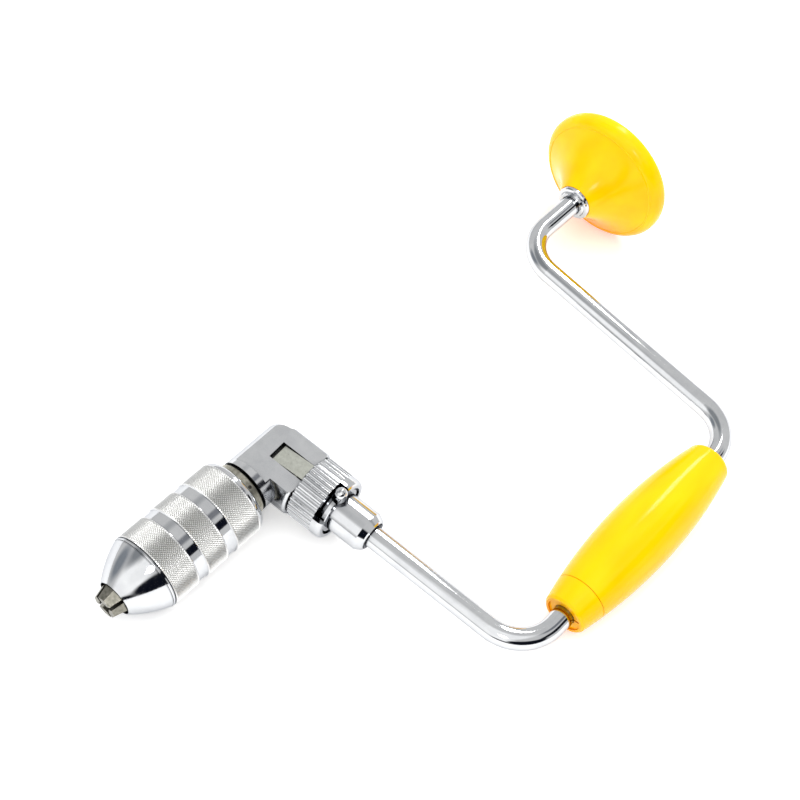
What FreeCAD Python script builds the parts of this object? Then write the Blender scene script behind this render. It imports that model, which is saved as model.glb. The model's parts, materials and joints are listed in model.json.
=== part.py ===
import FreeCAD, Part
import math
import os
from FreeCAD import Placement, Rotation, Vector

# Ratchet bit brace, millimetres.
# Every piece is built in the brace's own working frame: X is the throw from the main
# axis to the grip, Y is the main axis from chuck to head, Z is square to the crank,
# with the origin where the lower arm meets the main axis.  One placement at the end
# lays the whole brace down the way it rests on a bench.

# ---- driving dimensions -------------------------------------------------------
THROW = 150.0            # main axis to grip axis: half of a 300 mm sweep
ARM_SPAN = 185.0         # lower arm to upper arm, measured on the main axis
ARM_LEAN = 3.3           # degrees each arm leans toward the other at the grip
ROD_R = 5.5
BEND_R = 22.0            # centre-line radius of the three rod bends

RUN = 0.08               # radial gap of a running fit
GAP = 0.3                # gap between faces that pass each other

GRIP_START = 28.0        # from the lower bend corner, along the grip axis
GRIP_LENGTH = 117.0
GRIP_END_R = 11.0
GRIP_R = 17.4
GRIP_CAP_LENGTH = 12.8
GRIP_BUSH_R = 9.0
GRIP_BUSH_LENGTH = 16.0
GRIP_BUSH_SET_IN = 0.9
GRIP_BORE_R = 7.5

HEAD_R = 38.3
HEAD_NECK = 46.5         # neck of the head above the upper arm
HEAD_RIM = 75.5          # rim of the head above the upper arm
RIM_BAND = 2.2           # upright band below the rim
HEAD_DOME = 16.0         # dome above the rim
NECK_R = 10.2
HEAD_BUSH_R = 8.0
HEAD_POCKET_R = 11.5
HEAD_POCKET_LOW = 66.0
HEAD_POCKET_ROOF = 81.0
HEAD_WAIST_R = 16.2       # narrow part of the bell, where it starts to flare
HEAD_WAIST = 54.6
HEAD_FLANGE_R = 9.9
HEAD_FLANGE_LENGTH = 3.6
HEAD_WASHER_R = 9.8
NUT_ACROSS = 15.0
NUT_HEIGHT = 5.0
WASHER_HEIGHT = 1.6
STUB_LENGTH = 74.0

CHUCK_R = 20.0
CHUCK_REAR = -26.3
CHUCK_REAR_R = 17.0
CHUCK_FRONT = -84.0      # where the knurled barrel turns into the nose
NOSE_END = -102.0
NOSE_R = 9.5
NOSE_MID_R = 15.9        # halfway along the nose
MOUTH_R = 9.05
JAW_TIP = -108.0
JAW_TIP_R = 6.5
JAW_MOUTH_R = 8.3        # jaw ridge where it leaves the nose
JAW_HOLE_R = 3.2         # round hole the jaws leave, as stored
JAW_HOLE_LENGTH = 10.0   # round part of the hole, from the tips
TANG_HALF = 3.4          # half side of the square hole behind it
JAW_SLOT = 1.8           # slot between neighbouring jaws
CONE_TAN = math.tan(math.radians(30.0))   # closing cone, half angle
CONE_START = -97.0       # jaw ridge leaves the mouth and starts the closing cone
CONE_START_R = 8.7
CONE_END = -88.6
CONE_RING_GAP = 0.28     # between jaw ridges and closing ring
CONE_RING_WALL = 1.35
THREAD_R = 15.2
GROOVE_DEPTH = 0.5       # smooth grooves beside the bands
KNURL_BANDS = ((-82.8, -69.0), (-63.0, -50.8), (-44.7, -30.0))

BOSS_R = 14.0            # ratchet box around the main axis
BOX_BOTTOM = -20.5
BOX_TOP = 13.8
BOX_TOP_ROUND = 6.0
BOX_R = 17.5             # ratchet box around the arm
BOX_START = -4.0
BOX_END = 20.5
BOX_FLAT = 10.6          # milled flats, front and back
FLAT_LOW = -17.0         # where the flats run out toward the chuck
BORE_TOP = 11.5
HUB_R = 9.5              # shank of the box that carries the selector ring
SPIGOT_R = 8.0           # end of the shank, inside the ferrule sleeve
SPIGOT_END = 44.5
ROD_START = 24.0         # the rod is let into the shank from here on
BORE_R = 7.9             # ratchet wheel bore
WHEEL_R = 7.6
WHEEL_ROOT_R = 6.1
WHEEL_TEETH = 12
WHEEL_HALF = 6.0         # half its length
TOOTH_GAP = 11.0         # degrees each side of a gap's middle
JOURNAL_R = 5.0

COLLAR_R = 14.2
COLLAR_LOW = -29.5
COLLAR_HIGH = -21.8
COLLAR_PIN_R = 0.9
COLLAR_PIN_TURN = 28.0   # degrees round from square to the crank
COLLAR_PIN_Y = -24.05
COLLAR_PIN_FOOT = 7.0
FLANGE_R = 10.0          # spindle flange inside the collar
SPINDLE_FRONT = -79.5
SPINDLE_REAR = -31.0
TANG_BORE_R = 6.0        # drilled behind the jaws for the end of the bit
TANG_BORE_END = -52.0
TONGUE_SLOT_HALF = 2.0   # cross slots that the jaw tongues slide in
TONGUE_SLOT_LENGTH = 6.0

PAWL_WIDTH = 9.4
PAWL_TIP = 2.0
PAWL_TAIL = 26.0
PAWL_TOP = 11.0
PAWL_BOTTOM = 8.0
PAWL_PIVOT = 16.0        # along the arm
PAWL_PIVOT_HEIGHT = 9.2
PAWL_PIN_R = 1.3
PAWL_TILT = 7.0          # degrees either way; as stored the upper pawl is down
SLOT_START = 0.2
SLOT_END = 27.0
SLOT_FLOOR = 6.4
SLOT_CLEARANCE = 0.45

RING_START = 20.9
RING_END = 41.0
RING_R = 16.6
RING_BORE = 13.6         # counterbore over the pawl tails
RING_RIM = 35.5          # end of the flutes, floor of the two notches
RIM_BORE = 13.4          # inside of the rim
FLUTES = 36
FLUTE_R = 1.1
FLUTE_OUT = 0.35         # flute centres outside the ring
NOTCH_HALF = 40.0        # degrees each side of a notch's middle
RING_TRAVEL = 50.0       # degrees from one drive direction to the other

FLANGE_START = 37.8      # washer behind the selector ring
FLANGE_END = 40.3
WASHER_R = 12.6
SHOULDER_START = 35.3
SHOULDER_R = 10.8

SLEEVE_END = 60.5
SLEEVE_R = 10.3
SLEEVE_TAPER = 3.7
SLEEVE_MOUTH_R = 7.3     # countersink round the rod
SLEEVE_MOUTH_DEPTH = 3.6

PIN_X = 39.6             # cross pin along the arm
PIN_SHAFT_R = 1.6
PIN_HEAD_R = 3.1
PIN_HEAD_SEAT = 9.4      # from the arm axis
PIN_HEAD_SHOULDER = 16.0
PIN_HEAD_TOP = 18.8
PIN_RECESS_R = 4.1

# ---- values that follow from them ---------------------------------------------
LEAN_RISE = THROW * math.tan(math.radians(ARM_LEAN))
GRIP_LOW = LEAN_RISE + GRIP_START
GRIP_HIGH = GRIP_LOW + GRIP_LENGTH
GRIP_MID = 0.5 * (GRIP_LOW + GRIP_HIGH)
GRIP_RISE = GRIP_R - GRIP_END_R
GRIP_SEAM = GRIP_LOW + GRIP_CAP_LENGTH
GRIP_ARC_R = ((0.5 * GRIP_LENGTH) ** 2 + GRIP_RISE ** 2) / (2.0 * GRIP_RISE)

ALONG = Vector(0, 1, 0)      # main axis
OUT = Vector(1, 0, 0)        # throw
UP = Vector(0, 0, 1)         # square to the crank


# ---- small helpers --------------------------------------------------------------
def turned(outline, axis_x=0.0):
    """Solid of revolution about an axis parallel to Y; outline holds (radius, y)."""
    points = [Vector(axis_x + r, y, 0) for r, y in outline]
    face = Part.Face(Part.makePolygon(points + points[:1]))
    return face.revolve(Vector(axis_x, 0, 0), ALONG, 360)


def turned_edges(edges, axis_x=0.0):
    """Solid of revolution of a closed run of edges drawn at z = 0."""
    face = Part.Face(Part.Wire(Part.__sortEdges__(edges)))
    return face.revolve(Vector(axis_x, 0, 0), ALONG, 360)


def line(a, b):
    return Part.LineSegment(a, b).toShape()


def arc(a, middle, b):
    return Part.Arc(a, middle, b).toShape()


def rod_along(radius, start, end, direction, base=Vector(0, 0, 0)):
    """Cylinder between two distances along a direction."""
    return Part.makeCylinder(radius, end - start, base + direction * start, direction)


def arm_turned(outline, angle=360.0):
    """Solid of revolution about the arm axis (X); outline holds (x, radius)."""
    points = [Vector(x, r, 0) for x, r in outline]
    face = Part.Face(Part.makePolygon(points + points[:1]))
    return face.revolve(Vector(0, 0, 0), OUT, angle)


def on_arm(shape):
    """Turns a shape built along X onto the leaning lower arm."""
    return shape.rotated(Vector(0, 0, 0), UP, ARM_LEAN)


def block(x0, x1, y0, y1, z0, z1):
    return Part.makeBox(x1 - x0, y1 - y0, z1 - z0, Vector(x0, y0, z0))


def about_axis(shape, angle):
    return shape.rotated(Vector(0, 0, 0), ALONG, angle)


# ---- crank ------------------------------------------------------------------------
def crank_path():
    """Centre line: lower arm, grip side, upper arm and head stub, with three bends."""
    start = Vector(ROD_START, ROD_START * math.tan(math.radians(ARM_LEAN)), 0)
    low_corner = Vector(THROW, LEAN_RISE, 0)
    high_corner = Vector(THROW, ARM_SPAN - LEAN_RISE, 0)
    head_corner = Vector(0, ARM_SPAN, 0)
    stub_end = Vector(0, ARM_SPAN + STUB_LENGTH, 0)
    corners = [start, low_corner, high_corner, head_corner, stub_end]
    edges = []
    last = start
    for before, corner, after in zip(corners, corners[1:], corners[2:]):
        toward = (before - corner).normalize()
        away = (after - corner).normalize()
        half = 0.5 * toward.getAngle(away)
        tangent = BEND_R / math.tan(half)
        bisector = (toward + away).normalize()
        centre = corner + bisector * (BEND_R / math.sin(half))
        bend_in = corner + toward * tangent
        bend_out = corner + away * tangent
        edges.append(line(last, bend_in))
        edges.append(arc(bend_in, centre - bisector * BEND_R, bend_out))
        last = bend_out
    edges.append(line(last, stub_end))
    return Part.Wire(edges)


def crank_rod():
    path = crank_path()
    first = path.Edges[0]
    start = first.valueAt(first.FirstParameter)
    direction = first.tangentAt(first.FirstParameter)
    circle = Part.Wire(Part.makeCircle(ROD_R, start, direction))
    rod = path.makePipeShell([circle], True, False)
    return rod.cut(on_arm(cross_pin()))


# ---- cross pin and ferrule sleeve ---------------------------------------------------
def pin_head(side):
    """Domed head of the cross pin on one side of the arm."""
    out = UP * side
    base = Vector(PIN_X, 0, 0)
    stem = rod_along(PIN_HEAD_R, PIN_HEAD_SEAT, PIN_HEAD_SHOULDER, out, base)
    rise = PIN_HEAD_TOP - PIN_HEAD_SHOULDER
    ball_r = (PIN_HEAD_R ** 2 + rise ** 2) / (2.0 * rise)
    ball = Part.makeSphere(ball_r, base + out * (PIN_HEAD_TOP - ball_r))
    cap = ball.common(rod_along(PIN_HEAD_R, PIN_HEAD_SHOULDER, PIN_HEAD_TOP + 1.0, out, base))
    return stem.fuse(cap)


def cross_pin():
    """Pin through sleeve, shank and rod; its heads stop the selector ring in its notches."""
    shaft = rod_along(PIN_SHAFT_R, -PIN_HEAD_SEAT - 1.0, PIN_HEAD_SEAT + 1.0, UP,
                      Vector(PIN_X, 0, 0))
    return shaft.fuse([pin_head(1), pin_head(-1)]).removeSplitter()


def pin_recesses():
    """Round recesses that the heads of the cross pin stand in, with the pin's hole."""
    base = Vector(PIN_X, 0, 0)
    hole = rod_along(PIN_SHAFT_R, -PIN_HEAD_TOP, PIN_HEAD_TOP, UP, base)
    sides = [rod_along(PIN_RECESS_R, PIN_HEAD_SEAT, PIN_HEAD_TOP, UP * side, base)
             for side in (1, -1)]
    return hole.fuse(sides)


def sleeve_pin():
    return on_arm(cross_pin())


def ferrule_sleeve():
    """Sleeve over the shank's spigot, tapered and countersunk where the rod comes out."""
    outline = [(FLANGE_END, SPIGOT_R), (FLANGE_END, SLEEVE_R),
               (SLEEVE_END - SLEEVE_TAPER, SLEEVE_R), (SLEEVE_END - 0.6, SLEEVE_R - 1.7),
               (SLEEVE_END, SLEEVE_R - 2.4), (SLEEVE_END, SLEEVE_MOUTH_R),
               (SLEEVE_END - SLEEVE_MOUTH_DEPTH, ROD_R), (SPIGOT_END, ROD_R), (SPIGOT_END, SPIGOT_R)]
    return on_arm(arm_turned(outline).cut(pin_recesses()))


# ---- ratchet box ------------------------------------------------------------------
def ratchet_box():
    boss = rod_along(BOSS_R, BOX_BOTTOM, BOX_TOP, ALONG)
    top_edge = [e for e in boss.Edges if abs(e.BoundBox.YMin - BOX_TOP) < 0.01]
    boss = boss.makeFillet(BOX_TOP_ROUND, top_edge)
    barrel = rod_along(BOX_R, BOX_START, BOX_END, OUT)
    for end, radius in ((BOX_START, 4.0), (BOX_END, 1.6)):
        rim = [e for e in barrel.Edges
               if abs(e.BoundBox.XMin - end) + abs(e.BoundBox.XMax - end) < 0.01]
        barrel = barrel.makeFillet(radius, rim)
    box = boss.fuse(on_arm(barrel))
    reach = 2.0 * BOX_R
    for side in (1, -1):
        low, high = sorted((side * BOX_FLAT, side * reach))
        box = box.cut(on_arm(block(-reach, reach, FLAT_LOW, reach, low, high)))
    shank = rod_along(HUB_R, BOX_END - 1.0, FLANGE_END, OUT)
    spigot = rod_along(SPIGOT_R, FLANGE_END - 1.0, SPIGOT_END, OUT)
    box = box.fuse([on_arm(shank), on_arm(spigot)])
    box = box.cut(rod_along(BORE_R, BOX_BOTTOM - 1.0, BORE_TOP, ALONG))
    box = box.cut(on_arm(rod_along(ROD_R, ROD_START, SPIGOT_END + 1.0, OUT)))
    half = 0.5 * PAWL_WIDTH + SLOT_CLEARANCE
    for side in (1, -1):
        low, high = sorted((side * SLOT_FLOOR, side * reach))
        box = box.cut(on_arm(block(SLOT_START, SLOT_END, -half, half, low, high)))
    return box.cut([pawl_pins(), on_arm(pin_recesses())]).removeSplitter()


def pawl_pivot(side):
    return Vector(PAWL_PIVOT, 0, side * PAWL_PIVOT_HEIGHT)


def pawl_pins():
    """Two short pins across the box, one for each pawl."""
    reach = 0.5 * PAWL_WIDTH + 4.0
    pins = [on_arm(rod_along(PAWL_PIN_R, -reach, reach, ALONG, pawl_pivot(side)))
            for side in (1, -1)]
    return Part.makeCompound(pins)


def pawl(side):
    """Bar-shaped pawl: tip over the ratchet wheel, tail under the selector ring."""
    half = 0.5 * PAWL_WIDTH
    outline = [(PAWL_TIP, PAWL_TOP), (PAWL_TAIL, PAWL_TOP), (PAWL_TAIL, PAWL_BOTTOM),
               (PAWL_TIP + 0.8, PAWL_BOTTOM)]
    points = [Vector(x, -half, side * z) for x, z in outline]
    bar = Part.Face(Part.makePolygon(points + points[:1])).extrude(ALONG * PAWL_WIDTH)
    pivot = pawl_pivot(side)
    eye = rod_along(PAWL_PIN_R + RUN, -PAWL_WIDTH, PAWL_WIDTH, ALONG, pivot)
    return on_arm(bar.cut(eye).rotated(pivot, ALONG, -PAWL_TILT))


def ring_washer():
    """Washer with a thin shoulder that keeps the selector ring in place."""
    outline = [(SHOULDER_START, HUB_R), (SHOULDER_START, SHOULDER_R),
               (FLANGE_START, SHOULDER_R), (FLANGE_START, WASHER_R - 0.3),
               (FLANGE_START + 0.3, WASHER_R), (FLANGE_END - 0.4, WASHER_R),
               (FLANGE_END, WASHER_R - 0.4), (FLANGE_END, HUB_R)]
    return on_arm(arm_turned(outline).cut(pin_recesses()))


def ring_notches():
    """Two opposite openings in the rim; the stored ring stands at one end of its travel."""
    corners = [(RING_RIM, RIM_BORE - 0.4), (RING_RIM, RING_R + 1.0),
               (RING_END + 1.0, RING_R + 1.0), (RING_END + 1.0, RIM_BORE - 0.4)]
    first = 90.0 + 0.5 * RING_TRAVEL - NOTCH_HALF
    notch = arm_turned(corners, 2.0 * NOTCH_HALF)
    return [notch.rotated(Vector(0, 0, 0), OUT, first + turn) for turn in (0.0, 180.0)]


def selector_ring():
    """Fluted ring: deep counterbore over the pawl tails, notched rim at the grip side."""
    chamfer = 0.9
    web_low = SLOT_END + GAP
    web_high = SHOULDER_START - GAP
    outline = [(RING_START, RING_BORE), (RING_START, RING_R - chamfer),
               (RING_START + chamfer, RING_R), (RING_END - 2.2, RING_R),
               (RING_END - 0.6, RING_R - 0.5), (RING_END, RING_R - 1.2),
               (RING_END, RIM_BORE), (web_high, RIM_BORE),
               (web_high, HUB_R + RUN), (web_low, HUB_R + RUN), (web_low, RING_BORE)]
    ring = arm_turned(outline)
    flutes = []
    for number in range(FLUTES):
        centre = Vector(0, 0, RING_R + FLUTE_OUT)
        flute = rod_along(FLUTE_R, RING_START - 1.0, RING_RIM, OUT, centre)
        flutes.append(flute.rotated(Vector(0, 0, 0), OUT, 360.0 / FLUTES * number))
    return on_arm(ring.cut(flutes + ring_notches()))


def spindle_bush():
    return turned([(JOURNAL_R + RUN, BOX_BOTTOM + 0.3), (BORE_R, BOX_BOTTOM + 0.3),
                   (BORE_R, -7.0), (JOURNAL_R + RUN, -7.0)])


# ---- spindle ----------------------------------------------------------------------
def collar_pin(reach):
    """Radial pin through the collar, out to the given radius."""
    turn = math.radians(COLLAR_PIN_TURN)
    direction = Vector(math.sin(turn), 0, math.cos(turn))
    base = Vector(0, COLLAR_PIN_Y, 0)
    return rod_along(COLLAR_PIN_R, COLLAR_PIN_FOOT, reach, direction, base)


def chuck_spindle():
    """Shaft in the ratchet box, flange for the collar and the threaded jaw carrier."""
    outline = [(0, 11.0), (JOURNAL_R - 0.6, 11.0), (JOURNAL_R, 10.4),
               (JOURNAL_R, COLLAR_HIGH + 0.4), (FLANGE_R, COLLAR_HIGH + 0.4),
               (FLANGE_R, SPINDLE_REAR), (THREAD_R - 0.8, SPINDLE_REAR),
               (THREAD_R, SPINDLE_REAR - 0.8), (THREAD_R, SPINDLE_FRONT + 1.0),
               (THREAD_R - 1.0, SPINDLE_FRONT), (TANG_BORE_R, SPINDLE_FRONT),
               (TANG_BORE_R, TANG_BORE_END), (0, TANG_BORE_END + 3.5)]
    spindle = turned(outline)
    reach = THREAD_R - 0.4
    slot = block(-TONGUE_SLOT_HALF, TONGUE_SLOT_HALF, SPINDLE_FRONT - 1.0,
                 SPINDLE_FRONT + TONGUE_SLOT_LENGTH, -reach, reach)
    spindle = spindle.cut([slot, about_axis(slot, 90)])
    return spindle.cut(collar_pin(COLLAR_R + 1.0))


def ratchet_wheel():
    """Wheel with straight-sided gaps that either pawl can drop into."""
    wheel = turned([(JOURNAL_R, -WHEEL_HALF), (WHEEL_R, -WHEEL_HALF),
                    (WHEEL_R, WHEEL_HALF), (JOURNAL_R, WHEEL_HALF)])
    gap_half = math.radians(TOOTH_GAP)
    cut_low = -WHEEL_HALF - 1.0
    gaps = []
    for number in range(WHEEL_TEETH):
        middle = 2.0 * math.pi / WHEEL_TEETH * number
        corners = []
        for radius, offset in ((WHEEL_R + 1.0, -gap_half), (WHEEL_R + 1.0, gap_half),
                               (WHEEL_ROOT_R, gap_half), (WHEEL_ROOT_R, -gap_half)):
            angle = middle + offset
            corners.append(Vector(radius * math.sin(angle), cut_low, radius * math.cos(angle)))
        gap_face = Part.Face(Part.makePolygon(corners + corners[:1]))
        gap = gap_face.extrude(ALONG * (-2.0 * cut_low))
        gaps.append(gap)
    return wheel.cut(gaps)


def spindle_collar():
    chamfer = 0.6
    collar = turned([(FLANGE_R, COLLAR_LOW), (COLLAR_R - chamfer, COLLAR_LOW),
                     (COLLAR_R, COLLAR_LOW + chamfer), (COLLAR_R, COLLAR_HIGH - chamfer),
                     (COLLAR_R - chamfer, COLLAR_HIGH), (FLANGE_R, COLLAR_HIGH)])
    return collar.cut(collar_pin(COLLAR_R + 1.0))


# ---- chuck ------------------------------------------------------------------------
def jaw_ridge(y):
    return CONE_START_R + (y - CONE_START) * CONE_TAN


def closing_ring():
    """Loose cone inside the nose that presses on the jaws without turning with them."""
    front = CONE_START + 1.0
    bore_front = jaw_ridge(front) + CONE_RING_GAP
    bore_rear = jaw_ridge(CONE_END) + CONE_RING_GAP
    return turned([(bore_front, front), (bore_front + CONE_RING_WALL, front),
                   (bore_rear + CONE_RING_WALL, CONE_END), (bore_rear, CONE_END)])


def chuck_shell():
    """Turned shell: curved nose, knurled barrel with two smooth grooves, open rear."""
    outside_ring = CONE_RING_GAP + CONE_RING_WALL + GAP
    bore = THREAD_R + GAP + 0.05
    groove_r = CHUCK_R - GROOVE_DEPTH
    nose_mid = Vector(NOSE_MID_R, 0.5 * (NOSE_END + CHUCK_FRONT), 0)
    corners = [Vector(CHUCK_R, CHUCK_FRONT, 0)]
    for start, end in KNURL_BANDS:
        corners += [Vector(groove_r, start - 0.4, 0), Vector(CHUCK_R, start, 0)]
        corners += [Vector(CHUCK_R, end, 0), Vector(groove_r, end + 0.4, 0)]
    corners += [Vector(CHUCK_REAR_R, CHUCK_REAR, 0), Vector(bore, CHUCK_REAR, 0),
                Vector(bore, CONE_END + 0.1, 0),
                Vector(jaw_ridge(CONE_START + 0.6) + outside_ring, CONE_START + 0.6, 0),
                Vector(MOUTH_R, CONE_START + 0.6, 0), Vector(MOUTH_R, NOSE_END, 0),
                Vector(NOSE_R, NOSE_END, 0)]
    edges = [line(a, b) for a, b in zip(corners, corners[1:])]
    edges.append(arc(corners[-1], nose_mid, corners[0]))
    return turned_edges(edges)


def octagon(ridge, y):
    """Eight-sided section with a ridge on the middle of every jaw."""
    points = []
    for number in range(8):
        angle = math.radians(45.0 * number)
        points.append(Vector(ridge * math.sin(angle), y, ridge * math.cos(angle)))
    return Part.makePolygon(points + points[:1])


def jaw(number):
    """One quarter of an eight-sided cone with the bit hole down its middle."""
    tail = SPINDLE_FRONT - 0.1
    ridge_end = jaw_ridge(CONE_END + 0.3)
    stations = [(JAW_TIP_R, JAW_TIP), (JAW_MOUTH_R, NOSE_END), (CONE_START_R, CONE_START),
                (ridge_end, CONE_END + 0.3), (ridge_end, tail)]
    blank = Part.makeLoft([octagon(r, y) for r, y in stations], True, True)
    edge = 0.5 * JAW_SLOT * math.sqrt(2.0)
    wide = 20.0
    sector = [Vector(0, JAW_TIP - 1, edge), Vector(wide, JAW_TIP - 1, edge + wide),
              Vector(-wide, JAW_TIP - 1, edge + wide)]
    quarter = Part.Face(Part.makePolygon(sector + sector[:1])).extrude(ALONG * 40.0)
    hole = rod_along(JAW_HOLE_R, JAW_TIP - 1, tail + 1, ALONG)
    tang = block(-TANG_HALF, TANG_HALF, JAW_TIP + JAW_HOLE_LENGTH, tail + 1,
                 -TANG_HALF, TANG_HALF)
    body = blank.common(quarter).cut([hole, about_axis(tang, 45)])
    half = TONGUE_SLOT_HALF - 0.15
    tongue = block(-half, half, tail - 2.0, SPINDLE_FRONT + TONGUE_SLOT_LENGTH - GAP, 7.0, 12.6)
    return about_axis(body.fuse(tongue).removeSplitter(), 90 * number)


# ---- head -------------------------------------------------------------------------
def at_head(y):
    return ARM_SPAN + y


def head_flange():
    """Stepped collar under the head: a small hub and a wider plate."""
    low = HEAD_NECK - HEAD_FLANGE_LENGTH
    edge = HEAD_FLANGE_R
    return turned([(ROD_R + GAP, at_head(low)), (edge - 2.5, at_head(low)),
                   (edge - 2.0, at_head(low + 1.4)), (edge - 0.6, at_head(low + 1.6)),
                   (edge, at_head(low + 2.2)), (edge, at_head(HEAD_NECK)),
                   (ROD_R + GAP, at_head(HEAD_NECK))])


def head_bush():
    return turned([(ROD_R + RUN, at_head(HEAD_NECK)), (HEAD_BUSH_R, at_head(HEAD_NECK)),
                   (HEAD_BUSH_R, at_head(HEAD_POCKET_LOW)),
                   (ROD_R + RUN, at_head(HEAD_POCKET_LOW))])


def head_bell():
    """Trumpet-shaped underside from the neck to the rim."""
    neck = Vector(NECK_R, at_head(HEAD_NECK), 0)
    waist = Vector(HEAD_WAIST_R, at_head(HEAD_WAIST), 0)
    flare = Vector(HEAD_R - 4.3, at_head(HEAD_RIM - 7.6), 0)
    shoulder = Vector(HEAD_R - 1.2, at_head(HEAD_RIM - 5.4), 0)
    rim = Vector(HEAD_R, at_head(HEAD_RIM - RIM_BAND), 0)
    top = Vector(HEAD_R, at_head(HEAD_RIM), 0)
    pocket_top = Vector(HEAD_POCKET_R, at_head(HEAD_RIM), 0)
    pocket = Vector(HEAD_POCKET_R, at_head(HEAD_POCKET_LOW), 0)
    seat = Vector(HEAD_BUSH_R, at_head(HEAD_POCKET_LOW), 0)
    foot = Vector(HEAD_BUSH_R, at_head(HEAD_NECK), 0)
    edges = [arc(neck, waist, flare), arc(flare, shoulder, rim), line(rim, top),
             line(top, pocket_top), line(pocket_top, pocket), line(pocket, seat),
             line(seat, foot), line(foot, neck)]
    return turned_edges(edges)


def head_dome():
    """Domed top with a small lip over the bell."""
    low = at_head(HEAD_RIM)
    high = at_head(HEAD_RIM + HEAD_DOME)
    lip = Vector(HEAD_R, low, 0)
    lip_top = Vector(HEAD_R - 0.5, low + 1.6, 0)
    crown = Vector(0, high, 0)
    dome_r = (lip_top.x ** 2 + (high - lip_top.y) ** 2) / (2.0 * (high - lip_top.y))
    side_x = 0.6 * HEAD_R
    side = Vector(side_x, high - dome_r + math.sqrt(dome_r ** 2 - side_x ** 2), 0)
    roof = Vector(0, at_head(HEAD_POCKET_ROOF), 0)
    roof_edge = Vector(HEAD_POCKET_R, at_head(HEAD_POCKET_ROOF), 0)
    inside = Vector(HEAD_POCKET_R, low, 0)
    edges = [line(lip, lip_top), arc(lip_top, side, crown), line(crown, roof),
             line(roof, roof_edge), line(roof_edge, inside), line(inside, lip)]
    return turned_edges(edges)


def head_washer():
    low = HEAD_POCKET_LOW + GAP
    high = low + WASHER_HEIGHT
    return turned([(ROD_R, at_head(low)), (HEAD_WASHER_R, at_head(low)),
                   (HEAD_WASHER_R, at_head(high)), (ROD_R, at_head(high))])


def head_nut():
    low = at_head(HEAD_POCKET_LOW + GAP + WASHER_HEIGHT)
    radius = 0.5 * NUT_ACROSS / math.cos(math.radians(30.0))
    points = []
    for number in range(6):
        angle = math.radians(60.0 * number)
        points.append(Vector(radius * math.cos(angle), low, radius * math.sin(angle)))
    nut = Part.Face(Part.makePolygon(points + points[:1])).extrude(ALONG * NUT_HEIGHT)
    return nut.cut(rod_along(ROD_R, low - 1.0, low + NUT_HEIGHT + 1.0, ALONG))


# ---- grip -------------------------------------------------------------------------
def grip_outside(y):
    """Radius of the barrel-shaped grip at a height."""
    drop = GRIP_ARC_R - math.sqrt(GRIP_ARC_R ** 2 - (y - GRIP_MID) ** 2)
    return GRIP_R - drop


def grip_arc(low, high):
    middle = 0.5 * (low + high)
    points = [Vector(THROW + grip_outside(y), y, 0) for y in (low, middle, high)]
    return points[0], points[2], arc(*points)


def grip_end_cap():
    edge = 1.0
    low, high, curve = grip_arc(GRIP_LOW + edge, GRIP_SEAM - 0.15)
    face = Vector(low.x - edge, GRIP_LOW, 0)
    inner = Vector(THROW + GRIP_BUSH_R, GRIP_LOW, 0)
    inner_top = Vector(THROW + GRIP_BUSH_R, high.y, 0)
    edges = [curve, line(low, face), line(face, inner), line(inner, inner_top),
             line(inner_top, high)]
    return turned_edges(edges, THROW)


def grip_barrel():
    round_r = 3.0
    low, high, curve = grip_arc(GRIP_SEAM + 0.15, GRIP_HIGH - round_r)
    end = Vector(high.x - round_r - 0.6, GRIP_HIGH, 0)
    corner = Vector(high.x - 1.1, GRIP_HIGH - 0.8, 0)
    inner = Vector(THROW + GRIP_BUSH_R, GRIP_HIGH, 0)
    step = Vector(THROW + GRIP_BUSH_R, GRIP_HIGH - GRIP_BUSH_LENGTH, 0)
    bore = Vector(THROW + GRIP_BORE_R, GRIP_HIGH - GRIP_BUSH_LENGTH, 0)
    bore_low = Vector(THROW + GRIP_BORE_R, GRIP_LOW + GRIP_BUSH_LENGTH, 0)
    step_low = Vector(THROW + GRIP_BUSH_R, GRIP_LOW + GRIP_BUSH_LENGTH, 0)
    foot = Vector(THROW + GRIP_BUSH_R, low.y, 0)
    edges = [curve, arc(high, corner, end), line(end, inner), line(inner, step),
             line(step, bore), line(bore, bore_low), line(bore_low, step_low),
             line(step_low, foot), line(foot, low)]
    return turned_edges(edges, THROW)


def grip_bush(start, end):
    """Split bush: a tube with one narrow slit along it."""
    bush = turned([(ROD_R + RUN, start), (GRIP_BUSH_R, start), (GRIP_BUSH_R, end),
                   (ROD_R + RUN, end)], THROW)
    slit = block(THROW - 0.6, THROW + 0.6, start - 1, end + 1, 2.0, 12.0)
    turn = slit.rotated(Vector(THROW, 0, 0), ALONG, 75)
    return bush.cut(turn)


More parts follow.
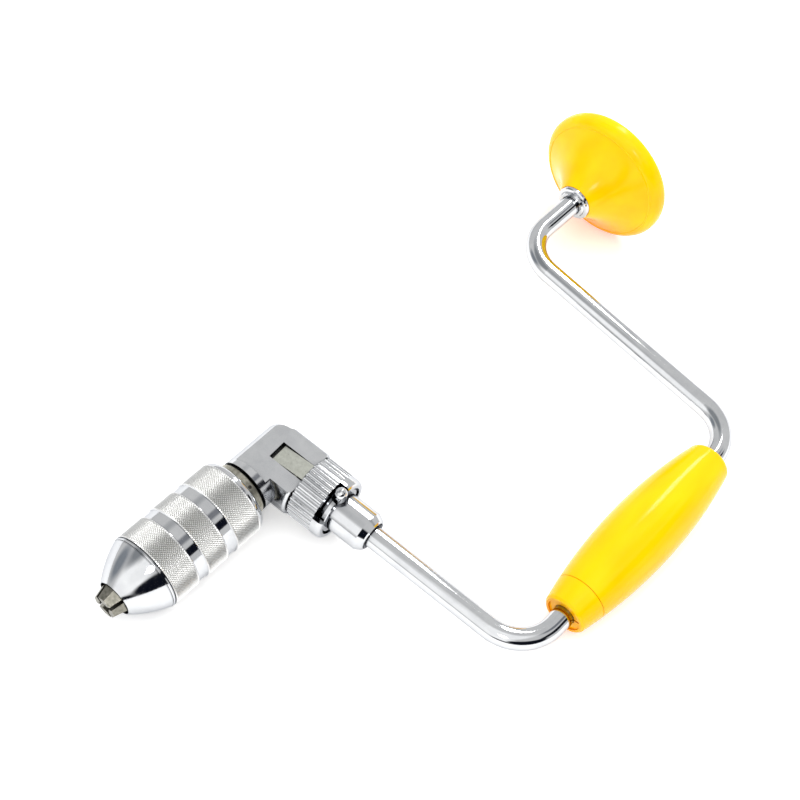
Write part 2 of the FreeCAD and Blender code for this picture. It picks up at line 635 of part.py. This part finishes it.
# ---- all pieces -------------------------------------------------------------------
def build():
    shapes = {
        "crank_rod": crank_rod(),
        "ferrule_sleeve": ferrule_sleeve(),
        "sleeve_pin": sleeve_pin(),
        "ratchet_box": ratchet_box(),
        "pawl_pins": pawl_pins(),
        "ring_washer": ring_washer(),
        "spindle_bush": spindle_bush(),
        "head_washer": head_washer(),
        "head_nut": head_nut(),
        "pawl_front": pawl(1),
        "pawl_back": pawl(-1),
        "selector_ring": selector_ring(),
        "chuck_spindle": chuck_spindle(),
        "ratchet_wheel": ratchet_wheel(),
        "spindle_collar": spindle_collar(),
        "collar_pin": collar_pin(COLLAR_R - 0.35),
        "closing_ring": closing_ring(),
        "chuck_shell": chuck_shell(),
        "head_flange": head_flange(),
        "head_bush": head_bush(),
        "head_bell": head_bell(),
        "head_dome": head_dome(),
        "grip_barrel": grip_barrel(),
        "grip_end_cap": grip_end_cap(),
        "grip_bush_lower": grip_bush(GRIP_LOW + GRIP_BUSH_SET_IN, GRIP_LOW + GRIP_BUSH_LENGTH),
        "grip_bush_upper": grip_bush(GRIP_HIGH - GRIP_BUSH_LENGTH, GRIP_HIGH - GRIP_BUSH_SET_IN),
    }
    for number in range(4):
        shapes["jaw_%d" % (number + 1)] = jaw(number)
    return shapes


def resting_rotation():
    """Turns the brace so head rim, chuck barrel and grip all touch the bench."""
    rim_y = ARM_SPAN + HEAD_RIM - RIM_BAND
    tilt = math.atan((HEAD_R - CHUCK_R) / (rim_y - CHUCK_FRONT))
    along = math.sin(tilt)
    across = math.cos(tilt)
    bench = along * CHUCK_FRONT - CHUCK_R * across
    grip_centre = GRIP_R - GRIP_ARC_R
    side = (bench - along * GRIP_MID + grip_centre * across + GRIP_ARC_R) / THROW
    normal = Vector(side, along, math.sqrt(across ** 2 - side ** 2))
    forward = (ALONG - normal * along).normalize()
    return Rotation(forward.cross(normal), forward, normal, "ZYX").inverted()


def lay_down(shapes):
    """Places every piece in the resting pose, bounding box centred on the origin."""
    turn = Placement(Vector(0, 0, 0), resting_rotation())
    placed = {}
    for name, shape in shapes.items():
        placed[name] = shape.copy()
        placed[name].transformShape(turn.toMatrix())
    box = Part.makeCompound(list(placed.values())).optimalBoundingBox(False)
    shift = Vector(-box.Center.x, -box.Center.y, -box.ZMin)
    for shape in placed.values():
        shape.translate(shift)
    return placed, turn, shift


def main():
    os.makedirs("parts", exist_ok=True)
    placed, _, _ = lay_down(build())
    for name, shape in placed.items():
        shape.exportStep("parts/%s.step" % name)


main()
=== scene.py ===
import json
import math

import bmesh
import bpy
from mathutils import Matrix, Vector


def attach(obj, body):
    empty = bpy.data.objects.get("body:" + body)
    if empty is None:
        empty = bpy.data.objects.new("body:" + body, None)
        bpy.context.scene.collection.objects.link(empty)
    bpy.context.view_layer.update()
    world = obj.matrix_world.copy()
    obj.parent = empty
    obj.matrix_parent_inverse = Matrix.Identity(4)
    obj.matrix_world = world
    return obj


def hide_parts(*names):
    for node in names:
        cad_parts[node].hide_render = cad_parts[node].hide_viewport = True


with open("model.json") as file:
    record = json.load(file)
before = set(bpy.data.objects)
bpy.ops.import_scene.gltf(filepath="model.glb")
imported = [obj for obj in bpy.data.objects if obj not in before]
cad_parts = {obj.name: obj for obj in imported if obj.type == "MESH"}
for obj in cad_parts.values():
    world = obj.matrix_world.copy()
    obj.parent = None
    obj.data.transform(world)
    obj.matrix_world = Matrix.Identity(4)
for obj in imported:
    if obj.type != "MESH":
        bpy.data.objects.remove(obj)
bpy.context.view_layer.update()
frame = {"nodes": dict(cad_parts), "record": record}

SLOT_OF = {part["node"]: part["material_slot"] for part in frame["record"]["subparts"]}
JOINTS = {joint["name"]: joint for joint in frame["record"]["behaviour"]["joints"]}
MAIN = Vector(JOINTS["spindle_spin"]["axis"]).normalized()     # chuck to head
MAIN_POINT = Vector(JOINTS["spindle_spin"]["pos_m"])
MM = 0.001

# ---- camera ------------------------------------------------------------------------
AIM = Vector((-0.03941, -0.02439, 0.04019))
AZIMUTH = 35.31
ELEVATION = 52.72
ROLL = 8.27
DISTANCE = 0.7356
LENS = 68.53

# ---- chuck shell, in millimetres from its rear end -----------------------------------
SHELL_R = 20.0
SHELL_GROOVE = 0.5              # smooth grooves between the knurled bands
SHELL_BANDS = ((3.7, 18.4), (24.5, 36.7), (42.7, 56.5))
SHELL_REAR_R = 17.0
SHELL_REAR_MIDDLE = (1.1, 18.75)   # on the rounded rear edge
REAR_LAND = 0.4                 # smooth strip before the first band
BAND_SLOPE = 0.35               # run-out at each end of a band
SHELL_BORE_R = 15.55
SHELL_BORE_END = 62.2
SHELL_CONE_END = 70.1
SHELL_CONE_R = 10.98
SHELL_MOUTH_R = 9.05
NOSE_START = 57.7
NOSE_END = 75.7
NOSE_MID_R = 15.9
NOSE_END_R = 9.5
NOSE_LINES = ((57.0, 57.5), (58.3, 58.7))   # two fine lines turned in front of the knurl
LINE_DEPTH = 0.35
LINE_FLANK = 0.12
LINE_LAND = 0.2                 # between the last line and the rest of the nose
REAR_STEPS = 8
NOSE_STEPS = 36
KNURL_STARTS = 104              # helical cuts each way round the shell
KNURL_PITCH = 1.35              # along the shell
KNURL_DEPTH = 0.40
KNURL_UNSHADED_DEPTH = 0.1                # this far below its tips the knurl is still at its brightest, above the painted shade
SHELL_COLUMNS = 2 * KNURL_STARTS
CREASE_DEGREES = 25.0           # sharper edges of the shell aren't smoothed

# ---- moulded rings on the head, in millimetres: below the rim, radius, half thickness --
HEAD_BEADS = ((7.5, 33.9, 0.45), (3.6, 37.7, 0.35))

# ---- colours ---------------------------------------------------------------------------
PLATING_DEEP = (0.60, 0.61, 0.625)
PLATING_BRIGHT = (0.68, 0.69, 0.70)
PLATING_EDGE = (0.62, 0.63, 0.65, 1.0)   # tint of its reflections at a glancing angle
# painted shade: near-black laid into the plating's corners and gaps, where shade falls
PAINTED_SHADE = (0.045, 0.05, 0.06)
# painted shade: the knurl's colour darkens from the tip tone to the valley tone down in the cuts
KNURL_VALLEY_SHADE = (0.52, 0.52, 0.50)
KNURL_TIP = (0.89, 0.89, 0.88)
PAINTED_BOUNCE_AMBER = (0.90, 0.27, 0.0)                # painted bounce light and shade: deeper orange laid in the plastic's corners
PLATING_REACH = 9.0                      # millimetres: painted shade darkens the plating where something is this near
# the box's painted shade reaches from anything this near
BOX_REACH = 26.0

# ---- studio walls: middle of each patch seen from the tool, half size, colour, softness --
WALL_WHITE = (0.9, 0.9, 0.9)
WALL_STRENGTH = 0.85
FLOOR_GLOW = 0.30
DARK = (0.006, 0.008, 0.016)
ROOM = (
    ((0.10, -0.80, 0.52), (0.55, 0.45, 0.42), (1.6, 1.6, 1.6), 0.20),     # window in front
    ((0.42, 0.40, 0.84), (0.16, 0.26, 0.22), (0.30, 0.31, 0.34), 0.25),   # above right
    ((-0.46, -0.22, 0.86), (0.27, 0.50, 0.30), (0.38, 0.40, 0.42), 0.30),  # above left
    ((-0.82, -0.50, 0.36), (0.32, 0.25, 0.26), (0.34, 0.37, 0.41), 0.35),  # left, low
    ((0.22, -0.45, 0.86), (0.30, 0.62, 0.42), (1.5, 1.5, 1.5), 0.15),     # skylight in front
    ((0.80, 0.30, 0.46), (0.42, 0.42, 0.17), DARK, 0.12),                 # right, behind
    ((0.84, -0.42, 0.26), (0.50, 0.48, 0.33), DARK, 0.12),                # right, in front
    ((0.42, -0.90, 0.03), (0.32, 0.25, 0.14), DARK, 0.20),                # low in front
)

# ---- small helpers for materials ---------------------------------------------------------
def new_material(name):
    material = bpy.data.materials.new(name)
    material.use_nodes = True
    return material, material.node_tree.nodes["Principled BSDF"]


def add_node(tree, kind, inputs=(), **settings):
    """A node with its settings made and its input sockets filled by value or by link."""
    node = tree.nodes.new(kind)
    for setting, value in settings.items():
        setattr(node, setting, value)
    for socket, value in dict(inputs).items():
        if isinstance(value, bpy.types.NodeSocket):
            tree.links.new(value, node.inputs[socket])
        else:
            node.inputs[socket].default_value = value
    return node


def place_on_part(tree):
    return add_node(tree, "ShaderNodeTexCoord").outputs["Object"]


def cloud(tree, grain_mm, detail=3.0, stretch=(1.0, 1.0, 1.0)):
    """Noise whose patches are about grain_mm across, or longer where stretch is below one."""
    mapped = add_node(tree, "ShaderNodeMapping", {"Vector": place_on_part(tree), "Scale": stretch})
    noise = add_node(tree, "ShaderNodeTexNoise",
                     {"Vector": mapped.outputs["Vector"], "Scale": 1.0 / (grain_mm * MM),
                      "Detail": detail, "Roughness": 0.55})
    return noise.outputs["Fac"]


def along(tree, axis):
    """Distance along an axis of the tool, in metres."""
    dot = add_node(tree, "ShaderNodeVectorMath", {0: place_on_part(tree), 1: axis},
                   operation="DOT_PRODUCT")
    return dot.outputs["Value"]


def tool_marks(tree, axis, spacing_mm):
    """Uneven marks square to an axis, as a turning or grinding tool leaves them."""
    marks = add_node(tree, "ShaderNodeTexNoise",
                     {"W": along(tree, axis), "Scale": 1.0 / (spacing_mm * MM), "Detail": 2.0},
                     noise_dimensions="1D")
    return marks.outputs["Fac"]


def ranged(tree, factor, low, high, start=0.3, end=0.7):
    """A factor going from start to end, turned into a value going from low to high."""
    span = add_node(tree, "ShaderNodeMapRange",
                    {"Value": factor, "From Min": start, "From Max": end,
                     "To Min": low, "To Max": high})
    return span.outputs["Result"]


def two_tone(tree, factor, first, second):
    """One colour where the factor is low, and the other where it is high."""
    mix = add_node(tree, "ShaderNodeMix", {"Factor": ranged(tree, factor, 0.0, 1.0)},
                   data_type="RGBA")
    mix.inputs["A"].default_value = (*first, 1.0)
    mix.inputs["B"].default_value = (*second, 1.0)
    return mix.outputs["Result"]


def paint_corner_shade(tree, color, tint, reach_mm):
    """Painted shade: the tint in corners and gaps with something else within reach, and the colour
    elsewhere.
    """
    open_share = add_node(tree, "ShaderNodeAmbientOcclusion", {"Distance": reach_mm * MM},
                          samples=6).outputs["AO"]
    mix = add_node(tree, "ShaderNodeMix", {"Factor": ranged(tree, open_share, 0.0, 1.0, 0.2, 0.8)},
                   data_type="RGBA")
    mix.inputs["A"].default_value = (*tint, 1.0)
    tree.links.new(color, mix.inputs["B"])
    return mix.outputs["Result"]


def raise_surface(tree, height, depth_mm, below=None):
    """A bump depth_mm deep, laid over the one given as below."""
    inputs = {"Height": height, "Distance": depth_mm * MM, "Strength": 1.0}
    if below:
        inputs["Normal"] = below
    return add_node(tree, "ShaderNodeBump", inputs).outputs["Normal"]


def connect(tree, shader, **sockets):
    names = {"color": "Base Color", "roughness": "Roughness", "normal": "Normal"}
    for socket, value in sockets.items():
        tree.links.new(value, shader.inputs[names[socket]])


# ---- plated and bare metals --------------------------------------------------------------
def chrome(name, haze, ripple_mm, ripple_depth, marks=None, reach_mm=PLATING_REACH):
    """Bright plating: haze is the roughest its polish gets, and the ripple is the buffing."""
    material, shader = new_material(name)
    tree = material.node_tree
    shader.inputs["Metallic"].default_value = 1.0
    shader.inputs["Specular Tint"].default_value = PLATING_EDGE
    color = two_tone(tree, cloud(tree, 9.0), PLATING_DEEP, PLATING_BRIGHT)
    # painted shade darkens the plating in its corners and gaps
    color = paint_corner_shade(tree, color, PAINTED_SHADE, reach_mm)
    roughness = ranged(tree, cloud(tree, 2.5, 6.0), 0.35 * haze, haze)
    normal = raise_surface(tree, cloud(tree, ripple_mm, 2.0), ripple_depth)
    if marks:
        normal = raise_surface(tree, tool_marks(tree, *marks), 0.004, normal)
    connect(tree, shader, color=color, roughness=roughness, normal=normal)
    return material


def knurled_chrome(name):
    """The shell's plating over the knurl, dull, with painted shade making it dark down in the cuts.
    """
    material, shader = new_material(name)
    tree = material.node_tree
    shader.inputs["Metallic"].default_value = 1.0
    start = MAIN_POINT - MAIN * MAIN_POINT.dot(MAIN)
    offset = add_node(tree, "ShaderNodeVectorMath", {0: place_on_part(tree), 1: start},
                      operation="SUBTRACT").outputs["Vector"]
    square = add_node(tree, "ShaderNodeVectorMath", {0: offset, 1: MAIN},
                      operation="CROSS_PRODUCT").outputs["Vector"]
    radius = add_node(tree, "ShaderNodeVectorMath", {0: square}, operation="LENGTH")
    # painted shade deepens with the depth of the cut
    height = ranged(tree, radius.outputs["Value"], 0.0, 1.0,
                    (SHELL_R - KNURL_DEPTH) * MM, (SHELL_R - KNURL_UNSHADED_DEPTH) * MM)
    color = two_tone(tree, height, KNURL_VALLEY_SHADE, KNURL_TIP)
    rough = ranged(tree, cloud(tree, 0.5, 4.0), 0.34, 0.44)
    connect(tree, shader, color=color, roughness=rough)
    return material


def bare_steel(name, dark, light, roughness, marks, mark_depth):
    """Machined steel with a thin oxide: two mottled tones and the marks of the tool."""
    material, shader = new_material(name)
    tree = material.node_tree
    shader.inputs["Metallic"].default_value = 1.0
    mottle = cloud(tree, 1.6, 5.0)
    color = two_tone(tree, mottle, dark, light)
    rough = ranged(tree, cloud(tree, 0.6, 4.0), roughness - 0.08, roughness + 0.08)
    normal = raise_surface(tree, tool_marks(tree, *marks), mark_depth)
    normal = raise_surface(tree, mottle, 0.03, normal)
    connect(tree, shader, color=color, roughness=rough, normal=normal)
    return material


# ---- plastics ----------------------------------------------------------------------------
def moulded_plastic(name, deep, bright, gloss, reach_mm):
    """Glossy moulded plastic with slow flow streaks, a very fine orange-peel skin and painted
    bounce light in its corners.
    """
    material, shader = new_material(name)
    tree = material.node_tree
    shader.inputs["IOR"].default_value = 1.46
    shader.inputs["Specular IOR Level"].default_value = 0.20
    color = two_tone(tree, cloud(tree, 14.0, 2.0, (1.0, 0.35, 1.0)), deep, bright)
    # painted bounce light and shade: amber laid where the plastic is near other surfaces
    color = paint_corner_shade(tree, color, PAINTED_BOUNCE_AMBER, reach_mm)
    rough = ranged(tree, cloud(tree, 1.2, 5.0), gloss, gloss + 0.06)
    normal = raise_surface(tree, cloud(tree, 1.8, 2.0), 0.012)
    normal = raise_surface(tree, cloud(tree, 22.0, 1.0), 0.10, normal)
    connect(tree, shader, color=color, roughness=rough, normal=normal)
    return material


def slot_materials():
    return {
        "rod_chrome": chrome("rod_chrome", 0.10, 12.0, 0.03),
        "box_chrome": chrome("box_chrome", 0.20, 5.0, 0.03, reach_mm=BOX_REACH),
        "ring_chrome": chrome("ring_chrome", 0.13, 4.0, 0.02),
        "fitting_chrome": chrome("fitting_chrome", 0.08, 7.0, 0.02),
        "shell_chrome": chrome("shell_chrome", 0.12, 9.0, 0.006, (MAIN, 0.35)),
        "collar_steel": bare_steel("collar_steel", (0.26, 0.25, 0.20), (0.48, 0.465, 0.40),
                                   0.34, (MAIN, 0.5), 0.02),
        "jaw_steel": bare_steel("jaw_steel", (0.15, 0.145, 0.12), (0.30, 0.29, 0.245),
                                0.36, (MAIN, 0.45), 0.03),
        "pawl_steel": bare_steel("pawl_steel", (0.56, 0.57, 0.50), (0.68, 0.69, 0.62),
                                 0.34, (MAIN, 0.35), 0.006),
        "dark_steel": bare_steel("dark_steel", (0.05, 0.05, 0.045), (0.11, 0.10, 0.09),
                                 0.45, (MAIN, 0.4), 0.01),
        "inner_steel": bare_steel("inner_steel", (0.24, 0.24, 0.23), (0.40, 0.40, 0.38),
                                  0.38, (MAIN, 0.6), 0.02),
        "yellow_plastic": moulded_plastic("yellow_plastic", (0.96, 0.53, 0.0005),
                                          (0.98, 0.62, 0.001), 0.12, 40.0),
        "bush_plastic": moulded_plastic("bush_plastic", (0.92, 0.44, 0.001),
                                        (0.96, 0.50, 0.002), 0.22, 4.0),
    }


def paint_nodes(materials):
    for name, node in frame["nodes"].items():
        node.data.materials.clear()
        node.data.materials.append(materials[SLOT_OF[name]])


# ---- knurled chuck shell -----------------------------------------------------------------
def arc_through(first, middle, last, steps):
    """Points after first, up to last, on the circle through three (distance, radius) points."""
    (ax, ay), (bx, by), (cx, cy) = first, middle, last
    spread = 2.0 * (ax * (by - cy) + bx * (cy - ay) + cx * (ay - by))
    a_square = ax * ax + ay * ay
    b_square = bx * bx + by * by
    c_square = cx * cx + cy * cy
    center_x = (a_square * (by - cy) + b_square * (cy - ay) + c_square * (ay - by)) / spread
    center_y = (a_square * (cx - bx) + b_square * (ax - cx) + c_square * (bx - ax)) / spread
    radius = math.hypot(ax - center_x, ay - center_y)
    start = math.atan2(ay - center_y, ax - center_x)
    end = math.atan2(cy - center_y, cx - center_x)
    turns = [start + (end - start) * step / steps for step in range(1, steps + 1)]
    return [(center_x + radius * math.cos(turn), center_y + radius * math.sin(turn))
            for turn in turns]


def nose_radius(curve, distance):
    """Radius of the nose curve at a distance, or the shell's own where the curve hasn't begun."""
    for (d0, r0), (d1, r1) in zip(curve, curve[1:]):
        if d0 <= distance <= d1:
            return r0 + (r1 - r0) * (distance - d0) / (d1 - d0)
    return curve[0][1]


def knurl_rows(start, end):
    """Rows half a pitch apart. The first and last stay shallow, where the knurl runs out."""
    count = 2 * round((end - start) / KNURL_PITCH)
    rows = []
    for number in range(count + 1):
        depth = 0.0 if number in (0, count) else KNURL_DEPTH
        rows.append((start + (end - start) * number / count, SHELL_R, depth))
    return rows


def shell_rows():
    """Distance from the rear end, radius and knurl depth, over the outside and back inside."""
    smooth_r = SHELL_R - SHELL_GROOVE
    rear_edge = (SHELL_BANDS[0][0] - REAR_LAND, smooth_r)
    rear = arc_through((0.0, SHELL_REAR_R), SHELL_REAR_MIDDLE, rear_edge, REAR_STEPS)
    rows = [(0.0, SHELL_REAR_R, 0.0)] + [(*point, 0.0) for point in rear]
    for start, end in SHELL_BANDS:
        rows.append((start - BAND_SLOPE, smooth_r, 0.0))
        rows += knurl_rows(start, end)
        rows.append((end + BAND_SLOPE, smooth_r, 0.0))
    curve = [(NOSE_START, SHELL_R)]
    curve += arc_through((NOSE_START, SHELL_R), (0.5 * (NOSE_START + NOSE_END), NOSE_MID_R),
                         (NOSE_END, NOSE_END_R), NOSE_STEPS)
    for start, end in NOSE_LINES:
        for distance, depth in ((start - LINE_FLANK, 0.0), (start, LINE_DEPTH),
                                (end, LINE_DEPTH), (end + LINE_FLANK, 0.0)):
            rows.append((distance, nose_radius(curve, distance) - depth, 0.0))
    after_lines = NOSE_LINES[-1][1] + LINE_LAND
    rows += [(*point, 0.0) for point in curve if point[0] > after_lines]
    inside = [(NOSE_END, SHELL_MOUTH_R), (SHELL_CONE_END, SHELL_MOUTH_R),
              (SHELL_CONE_END, SHELL_CONE_R), (SHELL_BORE_END, SHELL_BORE_R),
              (0.0, SHELL_BORE_R)]
    return rows + [(*point, 0.0) for point in inside]


def shell_ring(mesh, center, spokes, radius, depth, knurl_row):
    """A ring of points round the shell. In a knurled row every other point is a valley."""
    ring = []
    for column, spoke in enumerate(spokes):
        valley = (column + knurl_row) % 2 == 0
        reach = (radius - (depth if valley else 0.0)) * MM
        ring.append(mesh.verts.new(center + spoke * reach))
    return ring


def skin_faces(mesh, lower, upper):
    """Faces from one ring to the next. A square inside the knurl is split valley to valley."""
    low, low_depth, low_row = lower
    high, high_depth, _ = upper
    inside_knurl = low_depth > 0.0 and high_depth > 0.0
    by_knurl = low_depth > 0.0 or high_depth > 0.0
    for column in range(SHELL_COLUMNS):
        following = (column + 1) % SHELL_COLUMNS
        a, b, c, d = low[column], low[following], high[following], high[column]
        if not inside_knurl:
            faces = [mesh.faces.new((a, b, c, d))]
        elif (column + low_row) % 2 == 0:
            faces = [mesh.faces.new((a, b, c)), mesh.faces.new((a, c, d))]
        else:
            faces = [mesh.faces.new((a, b, d)), mesh.faces.new((b, c, d))]
        for face in faces:
            face.smooth = not by_knurl
            face.material_index = int(by_knurl)


def shell_mesh():
    """The turned shell with its diamond knurl cut as real pyramids."""
    cad = frame["nodes"]["chuck_shell"]
    rear = max((vertex.co - MAIN_POINT).dot(MAIN) for vertex in cad.data.vertices)
    across = MAIN.orthogonal().normalized()
    over = MAIN.cross(across)
    angles = [2.0 * math.pi * column / SHELL_COLUMNS for column in range(SHELL_COLUMNS)]
    spokes = [across * math.cos(angle) + over * math.sin(angle) for angle in angles]
    mesh = bmesh.new()
    rings = []
    knurl_row = 0
    for distance, radius, depth in shell_rows():
        knurl_row = knurl_row + 1 if depth else 0
        center = MAIN_POINT + MAIN * (rear - distance * MM)
        rings.append((shell_ring(mesh, center, spokes, radius, depth, knurl_row), depth, knurl_row))
    for lower, upper in zip(rings, rings[1:] + rings[:1]):
        skin_faces(mesh, lower, upper)
    bmesh.ops.recalc_face_normals(mesh, faces=mesh.faces)
    for edge in mesh.edges:
        edge.smooth = edge.calc_face_angle(0.0) < math.radians(CREASE_DEGREES)
    data = bpy.data.meshes.new("chuck_shell_knurled")
    mesh.to_mesh(data)
    mesh.free()
    return data


def add_shell(materials):
    data = shell_mesh()
    data.materials.append(materials["shell_chrome"])
    data.materials.append(knurled_chrome("shell_knurl"))
    shell = bpy.data.objects.new("chuck_shell_knurled", data)
    bpy.context.scene.collection.objects.link(shell)
    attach(shell, "shell")
    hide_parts("chuck_shell")


# ---- mouldings on the head -----------------------------------------------------------------
def add_bead(name, center, radius, bead, material):
    """A thin moulded ring round the main axis."""
    bpy.ops.mesh.primitive_torus_add(major_radius=radius * MM, minor_radius=bead * MM,
                                     major_segments=192, minor_segments=16, location=center,
                                     rotation=MAIN.to_track_quat("Z", "Y").to_euler())
    ring = bpy.context.object
    ring.name = name
    for face in ring.data.polygons:
        face.use_smooth = True
    ring.data.materials.append(material)
    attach(ring, "head")


def add_head_beads(materials):
    bell = frame["nodes"]["head_bell"]
    rim = max((vertex.co - MAIN_POINT).dot(MAIN) for vertex in bell.data.vertices)
    for number, (station, radius, bead) in enumerate(HEAD_BEADS, start=1):
        center = MAIN_POINT + MAIN * (rim - station * MM)
        add_bead(f"head_bead_{number}", center, radius, bead, materials["yellow_plastic"])


# ---- studio ---------------------------------------------------------------------------------
def add_camera():
    azimuth = math.radians(AZIMUTH)
    elevation = math.radians(ELEVATION)
    back = Vector((math.sin(azimuth) * math.cos(elevation),
                   -math.cos(azimuth) * math.cos(elevation), math.sin(elevation)))
    level = Vector((math.cos(azimuth), math.sin(azimuth), 0.0))
    raised = back.cross(level)
    roll = math.radians(ROLL)
    right = level * math.cos(roll) + raised * math.sin(roll)
    up = back.cross(right)
    pose = Matrix((right, up, back)).transposed().to_4x4()
    pose.translation = AIM + back * DISTANCE
    data = bpy.data.cameras.new("camera")
    data.lens = LENS
    data.sensor_width = 36.0
    data.clip_end = 20.0
    camera = bpy.data.objects.new("camera", data)
    camera.matrix_world = pose
    bpy.context.scene.collection.objects.link(camera)
    bpy.context.scene.camera = camera


def add_floor():
    bpy.ops.mesh.primitive_plane_add(size=8.0, location=(0.0, 0.0, 0.0))
    floor = bpy.context.object
    floor.name = "floor"
    material, shader = new_material("white_sweep")
    tree = material.node_tree
    color = two_tone(tree, cloud(tree, 300.0), (0.93, 0.93, 0.93), (0.95, 0.95, 0.95))
    connect(tree, shader, color=color)
    shader.inputs["Roughness"].default_value = 0.8
    shader.inputs["Specular IOR Level"].default_value = 0.1
    shader.inputs["Emission Color"].default_value = (1.0, 1.0, 1.0, 1.0)
    shader.inputs["Emission Strength"].default_value = FLOOR_GLOW
    floor.data.materials.append(material)


def add_softbox(name, direction, distance, size, power, mirrored):
    """A rectangular light facing the tool. A light that isn't mirrored shows in no reflection."""
    data = bpy.data.lights.new(name, "AREA")
    data.shape = "RECTANGLE"
    data.size, data.size_y = size
    data.energy = power
    light = bpy.data.objects.new(name, data)
    light.location = AIM + Vector(direction).normalized() * distance
    light.rotation_euler = (-Vector(direction)).to_track_quat("-Z", "Y").to_euler()
    light.visible_glossy = mirrored
    bpy.context.scene.collection.objects.link(light)


def wall_patch(tree, below, center, reach, color, edge):
    """Lays a soft-edged patch of the studio's walls and ceiling over what is below it."""
    direction = add_node(tree, "ShaderNodeTexCoord").outputs["Generated"]
    shifted = add_node(tree, "ShaderNodeVectorMath", {0: direction, 1: center},
                       operation="SUBTRACT").outputs["Vector"]
    scaled = add_node(tree, "ShaderNodeVectorMath", {0: shifted, 1: reach},
                      operation="DIVIDE").outputs["Vector"]
    length = add_node(tree, "ShaderNodeVectorMath", {0: scaled}, operation="LENGTH")
    inside = ranged(tree, length.outputs["Value"], 1.0, 0.0, 1.0 - edge, 1.0 + edge)
    mix = add_node(tree, "ShaderNodeMix", {"Factor": inside}, data_type="RGBA")
    tree.links.new(below, mix.inputs["A"])
    mix.inputs["B"].default_value = (*color, 1.0)
    return mix.outputs["Result"]


def add_room():
    """A white studio with a grey ceiling, a dark wall on the right and a grey one on the left."""
    world = bpy.data.worlds.new("studio")
    world.use_nodes = True
    tree = world.node_tree
    white = add_node(tree, "ShaderNodeRGB")
    white.outputs[0].default_value = (*WALL_WHITE, 1.0)
    walls = white.outputs[0]
    for center, reach, color, edge in ROOM:
        walls = wall_patch(tree, walls, center, reach, color, edge)
    background = tree.nodes["Background"]
    tree.links.new(walls, background.inputs["Color"])
    background.inputs["Strength"].default_value = WALL_STRENGTH
    bpy.context.scene.world = world


def add_lights():
    add_softbox("overhead", (0.1, 0.1, 1.0), 1.6, (2.2, 2.2), 18.0, False)
    add_softbox("strip", (-0.2, 0.75, 0.75), 1.1, (0.16, 0.55), 3.4, True)
    add_softbox("window", (0.5, -0.75, 0.9), 1.2, (0.20, 0.20), 1.8, True)


bpy.context.scene.view_settings.view_transform = "Standard"
finishes = slot_materials()
paint_nodes(finishes)
add_shell(finishes)
add_head_beads(finishes)
add_camera()
add_floor()
add_room()
add_lights()
